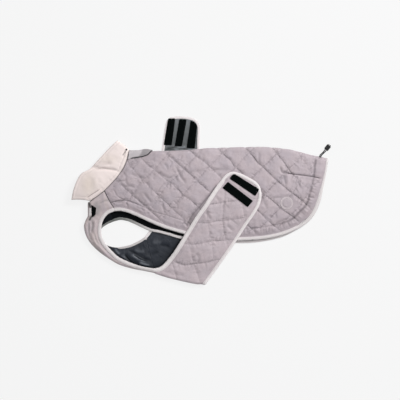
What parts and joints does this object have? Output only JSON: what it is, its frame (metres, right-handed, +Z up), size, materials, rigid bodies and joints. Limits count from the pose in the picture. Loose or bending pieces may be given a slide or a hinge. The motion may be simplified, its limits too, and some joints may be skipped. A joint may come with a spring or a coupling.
{
  "type": "dog winter coat",
  "caption": "Quilted coat for a small dog, laid flat on its side with its belly flaps open, and a soft collar, bound edges and a drawcord at the tail.",
  "frame": {"origin": "centre of the coat's footprint, on the surface it lies on", "axes": "+X from the collar to the tail, +Y from the belly to the spine, +Z up from the surface"},
  "size_m": [0.5824, 0.3813, 0.0267],
  "materials": {
    "quilted_shell": "matte quilted polyester, mauve grey",
    "collar_cloth": "brushed soft cloth, pale pink beige",
    "binding_tape": "folded knit binding, pale pink",
    "hook_tape": "black hook-and-loop tape",
    "placket_cloth": "plain shell cloth, darker",
    "black_cord": "braided elastic cord",
    "black_plastic": "matte black plastic"
  },
  "bodies": {
    "root": {"back": "quilted_shell", "chest_panel": "quilted_shell", "belly_band": "quilted_shell", "collar": "collar_cloth", "collar_tab": "collar_cloth", "back_binding": "binding_tape", "leg_binding": "binding_tape", "near_tape_1": "hook_tape", "near_tape_2": "hook_tape", "far_tape_1": "hook_tape", "far_tape_2": "hook_tape", "far_tape_3": "hook_tape", "throat_pad": "hook_tape", "throat_tab": "binding_tape", "leash_placket": "placket_cloth", "round_patch": "quilted_shell", "nape_snap": "black_plastic", "eyelet": "black_plastic", "toggle": "black_plastic", "hem_cord_1": "black_cord", "hem_cord_2": "black_cord"}
  },
  "joints": []
}
